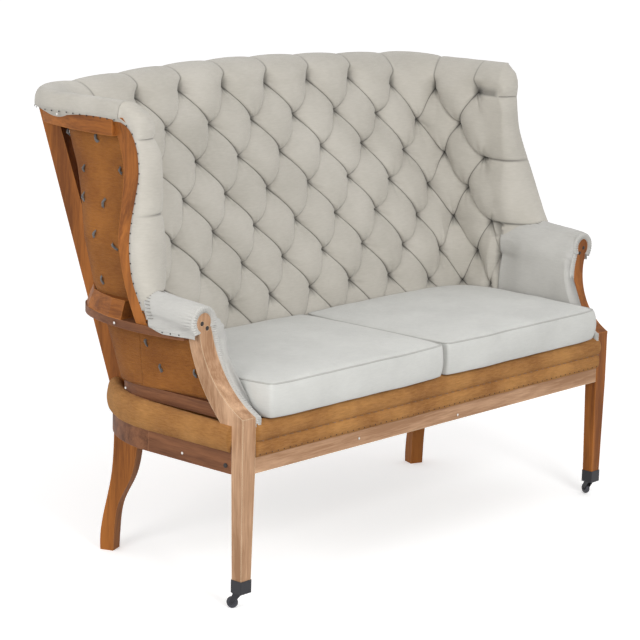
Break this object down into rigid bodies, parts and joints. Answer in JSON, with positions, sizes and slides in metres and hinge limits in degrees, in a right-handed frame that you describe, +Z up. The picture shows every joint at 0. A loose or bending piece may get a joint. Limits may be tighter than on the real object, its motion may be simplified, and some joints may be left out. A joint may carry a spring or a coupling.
{
  "type": "high back settee",
  "caption": "Winged high back settee shown part-upholstered: exposed beech frame and hessian outside, deep-buttoned linen inside, loose seat cushions, front casters.",
  "frame": {"origin": "middle of the footprint, on the floor", "axes": "+X along the seat to the settee's own left arm seen from behind (the viewer's right from the front), +Y to the back, +Z up"},
  "size_m": [1.5872, 0.858, 1.206],
  "materials": {
    "beech": "satin, oiled",
    "linen": "matte plain weave",
    "cushion_linen": "matte plain weave",
    "hessian": "coarse matte weave",
    "twine": "matte",
    "webbing": "matte",
    "spring_wire": "satin",
    "steel": "dull",
    "caster_iron": "matte black",
    "wheel_iron": "worn black"
  },
  "bodies": {
    "frame": {"arm_block_left": "beech", "arm_block_right": "beech", "arm_facing_left": "linen", "arm_facing_right": "linen", "arm_hessian_left": "hessian", "arm_hessian_right": "hessian", "arm_plank_left": "beech", "arm_plank_right": "beech", "arm_roll_left": "linen", "arm_roll_right": "linen", "back_buttons": "linen", "back_edge_roll": "hessian", "back_hessian": "hessian", "back_seat_rail": "beech", "back_stile_left": "beech", "back_stile_right": "beech", "caster_cup_left": "caster_iron", "caster_cup_right": "caster_iron", "corner_blocks": "beech", "corner_seat_rail_left": "beech", "corner_seat_rail_right": "beech", "crest_rail": "beech", "frame_bolts": "steel", "front_edge_roll": "hessian", "front_post_left": "beech", "front_post_right": "beech", "front_seat_rail": "beech", "inside_back": "linen", "inside_wing_left": "linen", "inside_wing_right": "linen", "lower_back_rail": "beech", "lower_side_rail_left": "beech", "lower_side_rail_right": "beech", "rear_post_left": "beech", "rear_post_right": "beech", "scroll_screws": "steel", "seat_braces": "beech", "seat_deck": "hessian", "seat_springs": "spring_wire", "seat_webbing": "webbing", "side_edge_roll_left": "hessian", "side_edge_roll_right": "hessian", "side_seat_rail_left": "beech", "side_seat_rail_right": "beech", "top_roll": "linen", "tuft_ties": "twine", "wing_hessian_left": "hessian", "wing_hessian_right": "hessian", "wing_post_left": "beech", "wing_post_right": "beech", "wing_roll_left": "linen", "wing_roll_right": "linen", "wing_top_rail_left": "beech", "wing_top_rail_right": "beech"},
    "caster_fork_left": {"caster_fork_left": "caster_iron"},
    "caster_wheel_left": {"caster_wheel_left": "wheel_iron"},
    "cushion_left": {"seat_cushion_left": "cushion_linen"},
    "caster_fork_right": {"caster_fork_right": "caster_iron"},
    "caster_wheel_right": {"caster_wheel_right": "wheel_iron"},
    "cushion_right": {"seat_cushion_right": "cushion_linen"}
  },
  "joints": [
    {"name": "caster_swivel_left", "type": "hinge", "parent": "frame", "child": "caster_fork_left", "pos_m": [-0.70075, -0.3915, 0.035], "axis": [0, 0, 1], "continuous": true},
    {"name": "caster_roll_left", "type": "hinge", "parent": "caster_fork_left", "child": "caster_wheel_left", "pos_m": [-0.70899, -0.3711, 0.0145], "axis": [-0.9272, -0.3746, 0], "continuous": true},
    {"name": "caster_swivel_right", "type": "hinge", "parent": "frame", "child": "caster_fork_right", "pos_m": [0.70075, -0.3915, 0.035], "axis": [0, 0, 1], "continuous": true},
    {"name": "caster_roll_right", "type": "hinge", "parent": "caster_fork_right", "child": "caster_wheel_right", "pos_m": [0.70899, -0.3711, 0.0145], "axis": [-0.9272, 0.3746, 0], "continuous": true},
    {"name": "cushion_lift_left", "type": "slide", "parent": "frame", "child": "cushion_left", "axis": [0, 0, 1], "range_m": [0, 0.25]},
    {"name": "cushion_lift_right", "type": "slide", "parent": "frame", "child": "cushion_right", "axis": [0, 0, 1], "range_m": [0, 0.25]}
  ]
}
